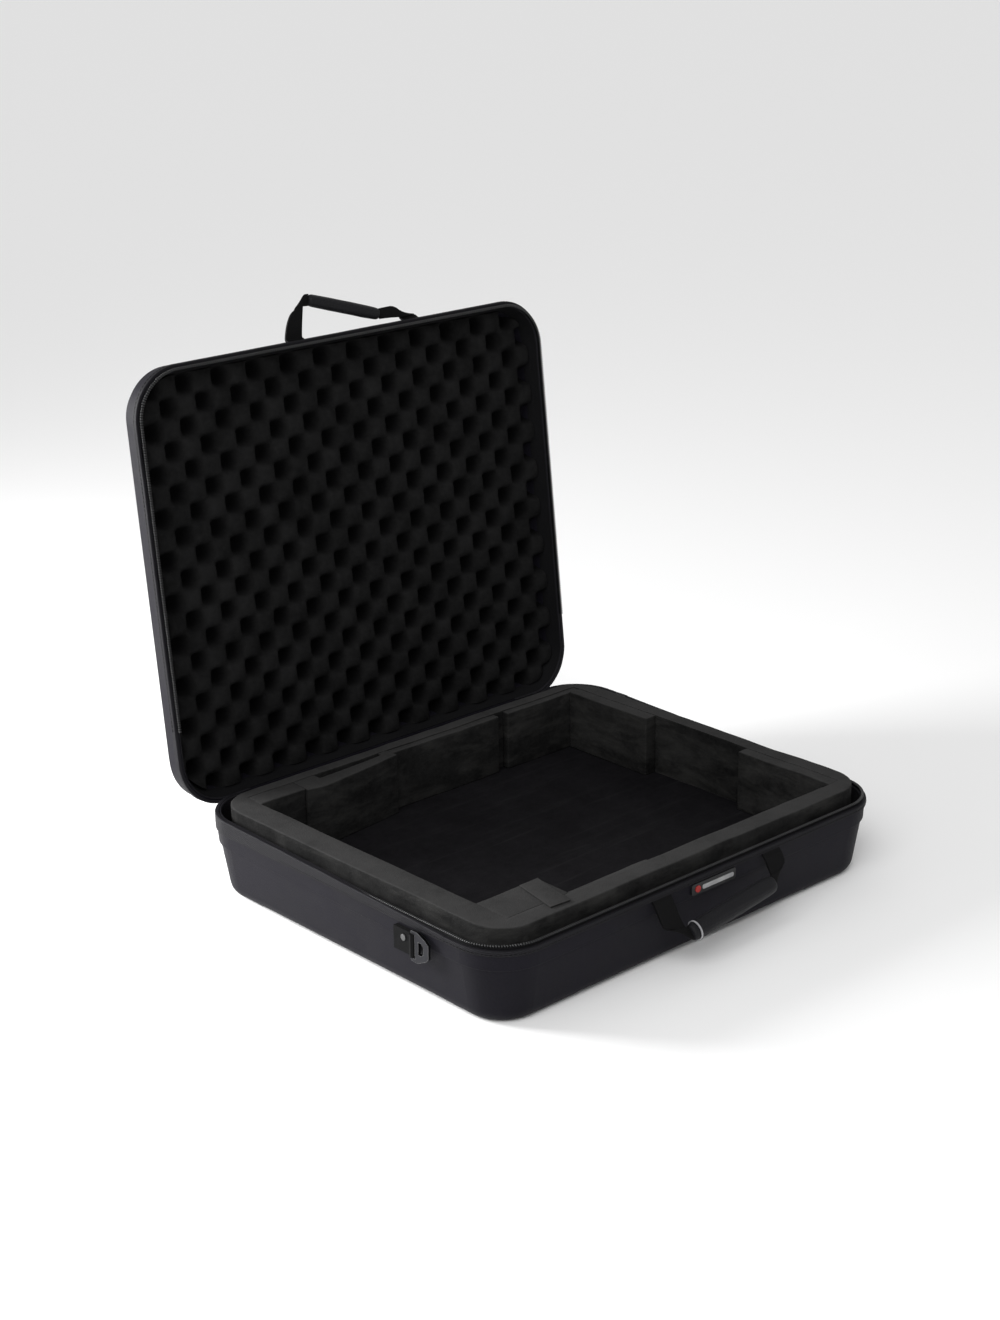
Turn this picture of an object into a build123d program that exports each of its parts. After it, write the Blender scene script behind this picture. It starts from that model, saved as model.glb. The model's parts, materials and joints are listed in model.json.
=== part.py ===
# Zipped moulded carry case with an open lid, foam lined base and egg-crate lid foam.
# Frame: origin at the middle of the resting plane, +X along the hinge, +Y to the hinge, +Z up.
# Everything on the lid is drawn closed and then turned open about the hinge line.
from build123d import *
from math import atan, degrees
import os

os.makedirs("parts", exist_ok=True)

# overall
case_w = 560.0
case_d = 468.0
plan_r = 54.0
base_h = 88.0
lid_h = 47.0
open_angle = 96.0

# moulded trays
wall = 4.0
flange_h = 21.0
flange_step = 2.0
flange_lean = 1.4
side_lean = 9.5
edge_r = 15.0
foot_h = 6.0
foot_len_x = 116.0
foot_len_y = 93.0
foot_slope = 14.0
centre_pad_w = 160.0

# zip zone between the two trays
zip_half = 6.5
tape_in = 2.4
tape_t = 1.2
teeth_h = 2.3
teeth_w = 3.6
close_gap = 0.3
binding_out = 1.2
binding_h = 4.6
lid_zip_back = 90.0
base_zip_back = 60.0

# hinge band
hinge_drop = 10.0
hinge_out = 2.6
hinge_end = 85.0
hinge_t = 2.2
hinge_reach = 22.0

# base foam
foam_gap_x = 16.0
foam_gap_y = 14.0
foam_proud = 11.0
floor_t = 19.5
left_wall_t = 30.0
right_wall_t = 19.0
front_wall_t = 22.0
rear_wall_t = 15.0
pad_t = 16.0
board_t = 9.5
board_drop = 0.8
slit_back = 114.5
slit_w = 14.0
seam = 0.2
corner_l = 59.0
corner_t = 24.0
spacer_l = 131.5
spacer_slot_in = 14.0
rear_pad_l = 134.0
front_pad_l = 130.0
front_block_l = 81.0
front_block_t = 45.0
patch_t = 1.6
ledge_t = 11.0
ledge_drop = 5.0
left_ledge_l = 114.5
right_ledge_l = 132.0

# lid foam
egg_gap_x = 13.0
egg_gap_y = 14.0
egg_r_step = 10.0
egg_clear = 2.4
backing_t = 2.0

# carry handles
handle_x = 15.0
strap_x = 80.0
strap_w = 25.0
strap_t = 2.4
anchor_h = 17.0
handle_drop = 16.0
handle_out = 3.6
strap_to_grip = 16.0
grip_down = 37.0
grip_up = 25.0
grip_a = 9.5
grip_b = 7.5
base_handle_tilt = 36.0
trim_t = 1.8
trim_w = 0.7

# strap rings
ring_from_front = 114.0
ring_out = 4.5
ring_below = 27.0
ring_h = 32.0
ring_t = 3.2
bar_r = 1.6
bar_gap = 0.5
loop_t = 1.6
tab_w = 24.0

# zip sliders and pulls
slider_from_stop = 16.0
slider_l = 15.0
slider_skin = 1.6
slide_gap = 0.4
pull_pin_r = 0.8
pull_l = 31.0
pull_w = 10.0
pull_t = 1.8

# badge
badge_x0 = -22.0
badge_l = 64.0
badge_h = 12.0
badge_below = 18.4

# derived
foot_gap_w = case_w - 2 * foot_len_x
foot_gap_d = case_d - 2 * foot_len_y
lid_zip_stop = case_d / 2 - lid_zip_back
base_zip_stop = case_d / 2 - base_zip_back
hinge_w = case_w - 2 * hinge_end
foam_w = case_w - 2 * foam_gap_x
foam_d = case_d - 2 * foam_gap_y
foam_r = plan_r - foam_gap_x
left_in = left_wall_t - foam_w / 2
right_in = foam_w / 2 - right_wall_t
front_in = front_wall_t - foam_d / 2
rear_in = foam_d / 2 - rear_wall_t
slit_x1 = right_in - slit_back
slit_x0 = slit_x1 - slit_w
egg_w = case_w - 2 * egg_gap_x
egg_d = case_d - 2 * egg_gap_y
egg_r = plan_r - egg_r_step
grip_x = strap_x - strap_to_grip
ring_bar_y = ring_from_front - case_d / 2
ring_bar_x = case_w / 2 + ring_out
ring_z = base_h - ring_below
slider_y = base_zip_stop - slider_from_stop
badge_z = base_h - badge_below
rim_z = base_h - zip_half
lid_top = base_h + lid_h
foam_top = base_h + foam_proud
cavity_z = foot_h + wall
floor_top = cavity_z + floor_t
axis_y = case_d / 2 + hinge_out
axis_z = base_h - hinge_drop
teeth_top = base_h - close_gap
tape_top = teeth_top - teeth_h


def block(x0, x1, y0, y1, z0, z1):
    box = Box(x1 - x0, y1 - y0, z1 - z0)
    return Pos((x0 + x1) / 2, (y0 + y1) / 2, (z0 + z1) / 2) * box


def slab(w, d, r, z0, z1):
    return Pos(0, 0, z0) * extrude(RectangleRounded(w, d, r), z1 - z0)


def ring(inset, width, z0, z1):
    outer = slab(case_w - 2 * inset, case_d - 2 * inset, plan_r - inset, z0, z1)
    deep = inset + width
    inner = slab(case_w - 2 * deep, case_d - 2 * deep, plan_r - deep, z0 - 1, z1 + 1)
    return outer - inner


def prism(points, z0, z1):
    return Pos(0, 0, z0) * extrude(make_face(Polyline(*points, close=True)), z1 - z0)


def leaning(w, d, r, top, height, lean):
    taper = degrees(atan(lean / height))
    face = Pos(0, 0, top) * RectangleRounded(w, d, r)
    return extrude(face, height, dir=(0, 0, -1), taper=taper)


def mirror_x(shape):
    return mirror(shape, Plane.YZ)


def lid_side(shape):
    # the same shape on the other side of the split plane
    return Pos(0, 0, 2 * base_h) * mirror(shape, Plane.XY)


def opened(shape):
    turn = Pos(0, axis_y, axis_z) * Rot(-open_angle, 0, 0)
    return turn * Pos(0, -axis_y, -axis_z) * shape


def save(name, shape, lid=False):
    export_step(opened(shape) if lid else shape, "parts/" + name + ".step")


def tray_block(height, centre_pad):
    # solid outside of a tray: feet at 0, rim upward
    top = height - zip_half
    step_z = top - flange_h
    low = 2 * (flange_lean + flange_step)
    body = leaning(case_w - low, case_d - low, plan_r - low / 2, step_z, step_z, side_lean)
    body = fillet(body.faces().sort_by(Axis.Z)[0].edges(), edge_r)
    flange = leaning(case_w, case_d, plan_r, top, flange_h, flange_lean)
    flange = fillet(flange.faces().sort_by(Axis.Z)[0].edges(), 1.2)
    body = body + flange
    gap_w = foot_gap_w / 2
    gap_d = foot_gap_d / 2
    across = [(-gap_w - foot_slope, -1), (gap_w + foot_slope, -1), (gap_w, foot_h), (-gap_w, foot_h)]
    along = [(-gap_d - foot_slope, -1), (gap_d + foot_slope, -1), (gap_d, foot_h), (-gap_d, foot_h)]
    cut_w = extrude(Plane.XZ * make_face(Polyline(*across, close=True)), case_d, both=True)
    cut_d = extrude(Plane.YZ * make_face(Polyline(*along, close=True)), case_w, both=True)
    body = body - cut_w - cut_d
    if centre_pad:
        body = body + slab(centre_pad, centre_pad * 0.7, 20, 0, foot_h)
    return body


def tray_hollow(height):
    top = height - zip_half
    inner_h = top - cavity_z
    inner = leaning(case_w - 2 * wall, case_d - 2 * wall, plan_r - wall, top, inner_h, side_lean + 2)
    return fillet(inner.faces().sort_by(Axis.Z)[0].edges(), edge_r - wall)


def hinge_gap():
    return block(-hinge_w / 2, hinge_w / 2, case_d / 2 - 30, case_d / 2 + 20, rim_z - 40, rim_z + 40)


def binding(shell):
    z0 = rim_z - binding_h
    z1 = rim_z + binding_out
    band = ring(-binding_out, wall + 2 * binding_out, z0, z1)
    band = fillet(band.faces().sort_by(Axis.Z)[-1].edges(), 1.0)
    tape_slot = ring(tape_in, tape_t, rim_z, z1 + 1)
    return band - shell - tape_slot - hinge_gap()


def zip_part(inset, width, z0, z1, stop):
    band = ring(inset, width, z0, z1)
    rear = block(-case_w, case_w, stop, case_d, z0 - 1, z1 + 1)
    return band - rear


def hinge_band(z0, z1, solid):
    return block(-hinge_w / 2, hinge_w / 2, case_d / 2 - 6, axis_y, z0, z1) - solid


# the lid is built like the base, rim upward at the same height, then turned over
base_block = tray_block(base_h, centre_pad_w)
base_shell = base_block - tray_hollow(base_h)
save("base_shell", base_shell)
lid_drop = Pos(0, 0, base_h - lid_h)
lid_block = lid_drop * tray_block(lid_h, 0)
lid_shell = lid_block - lid_drop * tray_hollow(lid_h)
save("lid_shell", lid_side(lid_shell), True)
save("base_binding", binding(base_shell))
save("lid_binding", lid_side(binding(lid_shell)), True)

# zip tapes and coils
base_tape = zip_part(tape_in, tape_t, rim_z, tape_top, base_zip_stop)
teeth_in = tape_in + tape_t / 2 - teeth_w / 2
base_teeth = zip_part(teeth_in, teeth_w, tape_top, teeth_top, base_zip_stop)
lid_tape = zip_part(tape_in, tape_t, rim_z, tape_top, lid_zip_stop)
lid_teeth = zip_part(teeth_in, teeth_w, tape_top, teeth_top, lid_zip_stop)
save("base_zip_tape", base_tape)
save("base_zip_teeth", base_teeth)
save("lid_zip_tape", lid_side(lid_tape), True)
save("lid_zip_teeth", lid_side(lid_teeth), True)

# sewn tabs that close the rear ends of the zip on the base
tab_x = case_w / 2 - tape_in - tape_t / 2
end_tab = block(tab_x - 2.4, tab_x + 2.4, base_zip_stop, base_zip_stop + 5, rim_z + binding_out, teeth_top)
end_tab = fillet(end_tab.edges().filter_by(Axis.X), 0.8)
save("zip_end_tabs", Compound([end_tab, mirror_x(end_tab)]))

# hinge band in two halves that meet at the fold line
save("hinge_band_base", hinge_band(axis_z - hinge_reach, axis_z - close_gap, base_block))
lid_fold = block(-hinge_w / 2, hinge_w / 2, axis_y - hinge_t, axis_y, axis_z + close_gap, rim_z + 2 * zip_half)
lid_sewn = lid_side(hinge_band(axis_z - hinge_reach, rim_z, lid_block))
save("hinge_band_lid", lid_fold + lid_sewn, True)

# base foam
foam_frame = slab(foam_w, foam_d, foam_r, floor_top + seam, foam_top)
foam_frame = fillet(foam_frame.faces().sort_by(Axis.Z)[-1].edges(), 1.5)
well = block(left_in, right_in, front_in, rear_in, floor_top - 1, foam_top + 1)
save("foam_frame", foam_frame - well)

floor_w = case_w - 2 * (wall + side_lean + 2 + edge_r - wall) + 2
floor_d = floor_w - case_w + case_d
save("floor_panel", slab(floor_w, floor_d, plan_r - 20, cavity_z + seam, floor_top))

z0 = floor_top + seam
corner_x = left_in + corner_l
save("rear_corner_block", block(left_in + seam, corner_x, rear_in - corner_t, rear_in - seam, z0, foam_top))
spacer_x0 = corner_x + 0.5
spacer_x1 = spacer_x0 + spacer_l
spacer = [(spacer_x0, rear_in - seam), (spacer_x0, rear_in - 27), (spacer_x0 + 21.5, rear_in - 32)]
spacer = spacer + [(spacer_x1, rear_in - 18.5), (spacer_x1, rear_in - seam)]
slot_x0 = spacer_x0 + 29.5
slot_x1 = spacer_x1 - spacer_slot_in + 1
spacer_slot = [(slot_x0, rear_in + 1), (slot_x0, rear_in - 11), (slot_x1, rear_in - 6), (slot_x1, rear_in + 1)]
save("rear_spacer", prism(spacer, z0, foam_top) - prism(spacer_slot, z0 - 1, foam_top + 1))
board_y = rear_in - board_t
board_top = foam_top - board_drop
save("rear_board_left", block(spacer_x1 + 0.5, slit_x0, board_y, rear_in - seam, z0, board_top))
save("rear_board_right", block(slit_x1, right_in - seam, board_y, rear_in - seam, z0, board_top))

pad_x = right_in - pad_t
save("right_pad_rear", block(pad_x, right_in - seam, rear_in - rear_pad_l, board_y - seam, z0, foam_top))
save("right_pad_front", block(pad_x + 1, right_in - seam, front_in + seam, front_in + front_pad_l, z0, foam_top))

block_x = left_in + front_block_l
block_y = front_in + front_block_t
save("front_corner_block", block(left_in + seam, block_x, front_in + seam, block_y, z0, foam_top))
strip = [(block_x - 26, block_y - 2), (block_x - 1.5, block_y - 2), (block_x - 13, front_in - 14), (block_x - 37, front_in - 12)]
save("front_corner_patch", prism(strip, foam_top, foam_top + patch_t))
ledge_top = foam_top - ledge_drop
ledge_y = front_in + ledge_t
ledge_x = block_x + 0.5
save("front_strip_left", block(ledge_x, ledge_x + left_ledge_l, front_in + seam, ledge_y, z0, ledge_top))
save("front_strip_right", block(right_in - right_ledge_l, pad_x, front_in + seam, ledge_y - 2, z0, ledge_top))

# lid foam
egg_top = lid_top - cavity_z - backing_t - seam
egg_bottom = foam_top + egg_clear
save("lid_foam", slab(egg_w - 8, egg_d - 8, egg_r, egg_bottom, egg_top - seam), True)
save("lid_backing", slab(egg_w - 26, egg_d - 26, egg_r - 8, egg_top, egg_top + backing_t), True)


def handle_anchor(x, solid):
    pad_top = rim_z - binding_h - 0.6
    body = block(x - strap_w / 2 - 1, x + strap_w / 2 + 1, -case_d / 2 - 1.8, -case_d / 2 + 8,
                 pad_top - anchor_h, pad_top)
    return body - solid


def anchor_pair(solid):
    return Compound([handle_anchor(handle_x - strap_x, solid), handle_anchor(handle_x + strap_x, solid)])


save("base_handle_anchors", anchor_pair(base_block))
save("lid_handle_anchors", lid_side(anchor_pair(lid_block)), True)

handle_y = -case_d / 2 - handle_out
base_handle_z = base_h - handle_drop
lid_handle_z = base_h + handle_drop


def strap_outline(side, turn_y):
    outer = strap_x + strap_w / 2
    inner = strap_x - strap_w / 2
    rows = [(outer, 0), (inner, 0), (inner, turn_y - 11), (grip_x - 0.3, turn_y - 8), (grip_x - 0.3, turn_y + 7)]
    rows = rows + [(inner + 4, turn_y + 7), (outer - 9, turn_y + 3), (outer - 2, turn_y - 6), (outer, turn_y - 16)]
    return [(side * x, -y) for x, y in rows]


def flat(points):
    face = make_face(Polyline(*points, close=True))
    return extrude(Plane.XZ * face, strap_t / 2, both=True)


def grip_bar(half, a, b):
    bar = Rot(0, 90, 0) * extrude(Ellipse(a, b), half, both=True)
    return fillet(bar.edges().filter_by(GeomType.LINE, reverse=True), min(a, b) * 0.35)


def collar(x, a, b):
    outer = Rot(0, 90, 0) * extrude(Ellipse(a + trim_w, b + trim_w), trim_t / 2, both=True)
    inner = Rot(0, 90, 0) * extrude(Ellipse(a, b), trim_t, both=True)
    return Pos(x, 0, 0) * (outer - inner)


# base handle, drawn hanging straight down from its fold line and then tipped outward
def hang(shape):
    return Pos(handle_x, handle_y, base_handle_z) * Rot(-base_handle_tilt, 0, 0) * shape


grip_place = Pos(0, 0, -(grip_down + grip_up) / 2) * Rot(0, -degrees(atan((grip_down - grip_up) / (2 * grip_x))), 0)
base_grip = grip_place * grip_bar(grip_x, grip_a, grip_b)
base_straps = [flat(strap_outline(-1, grip_down)) - base_grip, flat(strap_outline(1, grip_up)) - base_grip]
save("base_handle_straps", Compound([hang(s) for s in base_straps]))
save("base_handle_grip", hang(base_grip))
save("base_handle_trim", hang(grip_place * collar(7 - grip_x, grip_a, grip_b)))


# lid handle, flopped to one side: one strap stands, the other is folded
def stand(shape):
    return Pos(handle_x, handle_y, lid_handle_z) * Rot(-90, 0, 0) * shape


grip_lean = 13.0
lid_grip = Pos(-7, 0, -21) * Rot(0, -grip_lean, 0) * grip_bar(strap_x - 31, 7.5, 6.0)
half = strap_w / 2
tall = [(-half, 0), (half, 0), (18, -18), (30, -24), (32, -39), (20, -42), (6, -40), (-5, -28), (-11, -14)]
short = [(half, 0), (-half, 0), (-26, -3.5), (-44, -4.0), (-44, -14), (-30, -15), (-12, -13), (6, -7)]
tall = [(x - strap_x, y) for x, y in tall]
short = [(x + strap_x, y) for x, y in short]
lid_straps = [flat(points) - lid_grip for points in (tall, short)]
save("lid_handle_straps", Compound([stand(s) for s in lid_straps]), True)
save("lid_handle_grip", stand(lid_grip), True)

# badge with a plain bar and a dot
badge_y = -case_d / 2 - 1.2
plate = block(badge_x0, badge_x0 + badge_l, badge_y, -case_d / 2 + 6, badge_z - badge_h / 2, badge_z + badge_h / 2)
plate = fillet(plate.edges().filter_by(Axis.Y), 2.5) - base_block
save("badge_plate", plate)
bar = block(badge_x0 + 15, badge_x0 + badge_l - 4, badge_y - 0.8, badge_y, badge_z - 2.2, badge_z + 2.2)
save("badge_bar", fillet(bar.edges().filter_by(Axis.Y), 1.5))
dot = Pos(badge_x0 + 8.5, badge_y - 0.4, badge_z) * Rot(90, 0, 0) * Cylinder(3.6, 0.8)
save("badge_dot", dot)


# strap rings, drawn on the left face
def ring_plate():
    top = ring_z + ring_h / 2
    low = ring_z - ring_h / 2
    y0 = ring_bar_y + bar_r
    outline = [(y0, low), (y0 - 10, low), (y0 - 21, low + 5), (y0 - 25.5, ring_z - 7)]
    outline = outline + [(y0 - 25.5, ring_z + 7), (y0 - 21, top - 5), (y0 - 10, top), (y0, top)]
    face = make_face(Polyline(*outline, close=True))
    face = fillet(face.vertices(), 2.0)
    half = tab_w / 2 + 0.8
    slot_near = ring_bar_y - bar_r
    slot_far = ring_bar_y - bar_r - bar_gap - loop_t - 0.6
    slot = [(slot_far, ring_z - half), (slot_near, ring_z - half), (slot_near, ring_z + half), (slot_far, ring_z + half)]
    eye = [(y0 - 11, ring_z - 6.5), (y0 - 15.5, ring_z - 6.5), (y0 - 18.5, ring_z - 3.5)]
    eye = eye + [(y0 - 18.5, ring_z + 3.5), (y0 - 15.5, ring_z + 6.5), (y0 - 11, ring_z + 6.5)]
    face = face - make_face(Polyline(*slot, close=True)) - make_face(Polyline(*eye, close=True))
    body = extrude(Plane.YZ * face, ring_t / 2, both=True)
    trim = block(-9, 9, slot_near, y0 + 9, ring_z - half, ring_z + half)
    bar = Pos(0, ring_bar_y, ring_z) * Cylinder(bar_r, 2 * half)
    return Pos(-ring_bar_x, 0, 0) * (body - trim + bar)


def ring_tab():
    hub = Pos(-ring_bar_x, ring_bar_y, ring_z)
    sleeve_r = bar_r + bar_gap + loop_t
    sleeve = hub * Cylinder(sleeve_r, tab_w)
    bore = hub * Cylinder(bar_r + bar_gap, tab_w + 2)
    z0 = ring_z - tab_w / 2
    z1 = ring_z + tab_w / 2
    x0 = -ring_bar_x - 0.4
    strip = block(x0, -case_w / 2 + 10, ring_bar_y + bar_r + bar_gap + 0.4, ring_bar_y + 28, z0, z1)
    return (sleeve + strip - bore) - base_block


def ring_rivet():
    head = Pos(-ring_bar_x - 0.4 - 0.6, ring_bar_y + 13, ring_z + 4) * Rot(0, 90, 0) * Cylinder(3.4, 1.2)
    return fillet(head.edges().sort_by(Axis.X)[0], 0.5)


left_ring = ring_plate()
save("ring_left", left_ring)
save("ring_right", mirror_x(left_ring))
left_tab = ring_tab()
save("ring_tabs", Compound([left_tab, mirror_x(left_tab)]))
left_rivet = ring_rivet()
save("ring_rivets", Compound([left_rivet, mirror_x(left_rivet)]))


# the one zip slider and its pull, parked at the right end of the zip
slider_x = case_w / 2 - tape_in - tape_t / 2
slider_in = teeth_w / 2 + slide_gap
slider_r = slider_in + slider_skin
slider_z0 = rim_z + binding_out + 0.6
slider_z1 = 2 * base_h - slider_z0
lug_x = slider_x + slider_r + 2.0


def slider_body():
    y0 = slider_y - slider_l / 2
    y1 = slider_y + slider_l / 2
    body = block(slider_x - slider_r, slider_x + slider_r, y0, y1, slider_z0, slider_z1)
    body = fillet(body.edges().filter_by(Axis.Z), 1.2)
    ch0 = tape_top - slide_gap
    ch1 = 2 * base_h - ch0
    channel = block(slider_x - slider_in, slider_x + slider_in, y0 - 1, y1 + 1, ch0, ch1)
    half_tape = tape_t / 2 + slide_gap
    neck = block(slider_x - half_tape, slider_x + half_tape, y0 - 1, y1 + 1, slider_z0 - 1, slider_z1 + 1)
    diamond = block(slider_x - slider_in, slider_x + slider_in, y0 + 0.5, y0 + 5.5, teeth_top + slide_gap, ch1)
    lug_box = block(slider_x + slider_r - 0.5, lug_x + 1.9, slider_y - 2.8, slider_y + 2.8, base_h - 2.6, base_h + 2.6)
    hole = Pos(lug_x, slider_y, base_h) * Rot(90, 0, 0) * Cylinder(pull_pin_r + slide_gap, 12)
    return body - channel - neck + diamond + (lug_box - hole)


def slider_pull():
    pin = Pos(lug_x, slider_y, base_h) * Rot(90, 0, 0) * Cylinder(pull_pin_r, pull_w)
    low = base_h - pull_l
    x0 = lug_x - pull_t / 2
    x1 = lug_x + pull_t / 2
    frame = block(x0, x1, slider_y - pull_w / 2, slider_y + pull_w / 2, base_h - 8, base_h + 0.8)
    window = block(x0 - 1, x1 + 1, slider_y - 3.4, slider_y + 3.4, base_h - 6, base_h + 2)
    tab = block(x0, x1, slider_y - pull_w / 2, slider_y + pull_w / 2, low, base_h - 8)
    tab = fillet(tab.edges().filter_by(Axis.X).sort_by(Axis.Z)[:2], 4.0)
    hole = Pos(lug_x, slider_y, low + 5.5) * Rot(0, 90, 0) * Cylinder(2.2, 6)
    return frame - window + tab - hole + pin


right_slider = slider_body()
save("zip_slider", right_slider)
right_pull = slider_pull()
save("zip_pull", right_pull)
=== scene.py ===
import json
import math

import bpy
from mathutils import Matrix, Vector, noise


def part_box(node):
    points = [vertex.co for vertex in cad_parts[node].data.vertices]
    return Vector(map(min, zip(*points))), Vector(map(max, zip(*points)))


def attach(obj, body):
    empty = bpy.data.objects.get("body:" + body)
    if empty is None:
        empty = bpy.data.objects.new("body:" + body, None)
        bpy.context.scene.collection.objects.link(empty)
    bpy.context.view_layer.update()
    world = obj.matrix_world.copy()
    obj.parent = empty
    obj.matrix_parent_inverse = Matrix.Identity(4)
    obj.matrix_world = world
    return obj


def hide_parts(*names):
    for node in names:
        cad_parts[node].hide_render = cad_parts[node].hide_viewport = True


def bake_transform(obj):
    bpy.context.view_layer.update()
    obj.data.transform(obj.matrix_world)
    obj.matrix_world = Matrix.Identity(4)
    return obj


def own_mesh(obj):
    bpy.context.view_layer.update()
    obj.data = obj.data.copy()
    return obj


noise.seed_set(7)

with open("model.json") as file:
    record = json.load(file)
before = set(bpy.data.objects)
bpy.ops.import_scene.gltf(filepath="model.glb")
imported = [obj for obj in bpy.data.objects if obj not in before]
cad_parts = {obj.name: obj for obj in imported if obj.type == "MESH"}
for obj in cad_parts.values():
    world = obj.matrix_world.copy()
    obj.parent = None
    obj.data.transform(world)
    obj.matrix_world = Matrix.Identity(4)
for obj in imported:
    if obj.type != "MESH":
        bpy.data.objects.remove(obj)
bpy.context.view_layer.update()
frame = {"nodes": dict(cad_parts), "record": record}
print("frame loaded")

# shared places
# the case's own sizes in metres, as the solids have them
case = {"width": 0.560, "depth": 0.468, "corner": 0.054, "split": 0.088, "rim": 0.0815}
joints = {j["name"]: j for j in frame["record"]["behaviour"]["joints"]}
lidAxis = Vector(joints["lid_hinge"]["pos_m"])
lidAngle = joints["lid_hinge"]["range_deg"][0]
lidSwing = Matrix.Rotation(math.radians(lidAngle), 4, "X")
lidTurn = Matrix.Translation(lidAxis) @ lidSwing @ Matrix.Translation(-lidAxis)


def onlySelect(piece):
    bpy.ops.object.select_all(action="DESELECT")
    piece.select_set(True)
    bpy.context.view_layer.objects.active = piece


def settle(piece, turn=None):
    # the place goes into the mesh, and the object stays at the origin
    bpy.context.view_layer.update()
    piece.data.transform(piece.matrix_world)
    piece.matrix_world = Matrix.Identity(4)
    if turn is not None:
        piece.data.transform(turn)
    return piece


def finishPiece(piece, name, body, material, smoothAngle=35, turn=None):
    settle(piece, turn)
    piece.name = name
    piece.data.name = name
    piece.data.materials.clear()
    piece.data.materials.append(material)
    onlySelect(piece)
    bpy.ops.object.shade_smooth_by_angle(angle=math.radians(smoothAngle))
    if body:
        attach(piece, body)
    return piece


def meshPiece(name, points, faces):
    mesh = bpy.data.meshes.new(name)
    mesh.from_pydata(points, [], faces)
    mesh.update()
    piece = bpy.data.objects.new(name, mesh)
    bpy.context.collection.objects.link(piece)
    return piece


def fixNormals(piece):
    onlySelect(piece)
    bpy.ops.object.mode_set(mode="EDIT")
    bpy.ops.mesh.select_all(action="SELECT")
    bpy.ops.mesh.normals_make_consistent(inside=False)
    bpy.ops.object.mode_set(mode="OBJECT")


def rimRun(inset, stopY, step):
    # even points and headings round the rim, from the right rear stop by the front to the left one
    halfW = case["width"] / 2 - inset
    halfD = case["depth"] / 2 - inset
    r = case["corner"] - inset
    runs = [("line", Vector((halfW, stopY)), Vector((halfW, -halfD + r))),
            ("arc", Vector((halfW - r, -halfD + r)), 0.0),
            ("line", Vector((halfW - r, -halfD)), Vector((-halfW + r, -halfD))),
            ("arc", Vector((-halfW + r, -halfD + r)), -math.pi / 2),
            ("line", Vector((-halfW, -halfD + r)), Vector((-halfW, stopY)))]
    if stopY > halfD - r:
        runs[0] = ("line", Vector((halfW, halfD - r)), Vector((halfW, -halfD + r)))
        runs[4] = ("line", Vector((-halfW, -halfD + r)), Vector((-halfW, halfD - r)))
        runs.append(("arc", Vector((-halfW + r, halfD - r)), -math.pi))
        runs.append(("line", Vector((-halfW + r, halfD)), Vector((halfW - r, halfD))))
        runs.append(("arc", Vector((halfW - r, halfD - r)), -math.pi * 1.5))
    lengths = [(b - a).length if kind == "line" else r * math.pi / 2 for kind, a, b in
               [(k, p, q) if k == "line" else (k, None, None) for k, p, q in runs]]
    total = sum(lengths)
    count = int(total / step)
    rows = []
    for i in range(count):
        s = (i + 0.5) * total / count
        for (kind, a, b), length in zip(runs, lengths):
            if s <= length:
                break
            s -= length
        if kind == "line":
            heading = (b - a).normalized()
            spot = a + heading * s
        else:
            turn = b - s / r
            spot = a + Vector((math.cos(turn), math.sin(turn))) * r
            heading = Vector((math.sin(turn), -math.cos(turn)))
        rows.append((spot, heading))
    return rows


def copiesAlong(name, template, rows, z, flip=1):
    # one small shape repeated along a run: its X follows the heading, its Z is up
    shape = [v.co.copy() for v in template.data.vertices]
    faces = [tuple(p.vertices) for p in template.data.polygons]
    points, allFaces = [], []
    for spot, heading in rows:
        start = len(points)
        side = Vector((-heading.y, heading.x))
        for c in shape:
            flatSpot = spot + heading * c.x + side * c.y
            points.append((flatSpot.x, flatSpot.y, z + flip * c.z))
        allFaces.extend(tuple(start + k for k in (f if flip > 0 else f[::-1])) for f in faces)
    bpy.data.objects.remove(template)
    return meshPiece(name, points, allFaces)


# camera
view = {"place": (-1.58087, -1.67124, 1.06726), "turn": (70.3582, 0.7629, -42.6023), "lens": 85.16}
bpy.ops.object.camera_add(location=view["place"], rotation=[math.radians(a) for a in view["turn"]])
camera = bpy.context.object
camera.name = "viewCamera"
camera.data.lens = view["lens"]
camera.data.sensor_width = 36.0
camera.data.sensor_fit = "HORIZONTAL"
bpy.context.scene.camera = camera


# shared surface effects
def newGroup(name, inputs, outputs):
    group = bpy.data.node_groups.new(name, "ShaderNodeTree")
    for label, kind, value in inputs:
        socket = group.interface.new_socket(name=label, in_out="INPUT", socket_type=kind)
        if value is not None:
            socket.default_value = value
    for label, kind in outputs:
        group.interface.new_socket(name=label, in_out="OUTPUT", socket_type=kind)
    return group, group.nodes.new("NodeGroupInput"), group.nodes.new("NodeGroupOutput")


def addNode(tree, kind, **values):
    node = tree.nodes.new(kind)
    for key, value in values.items():
        if hasattr(node, key):
            setattr(node, key, value)
        else:
            node.inputs[key.replace("_", " ")].default_value = value
    return node


def mathNode(tree, operation, a, b=None, clamp=False):
    node = tree.nodes.new("ShaderNodeMath")
    node.operation = operation
    node.use_clamp = clamp
    for socket, value in zip(node.inputs, (a, b)):
        if value is None:
            continue
        if isinstance(value, (int, float)):
            socket.default_value = value
        else:
            tree.links.new(value, socket)
    return node.outputs[0]


def times(tree, a, b):
    return mathNode(tree, "MULTIPLY", a, b)


def plus(tree, a, b):
    return mathNode(tree, "ADD", a, b)


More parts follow.
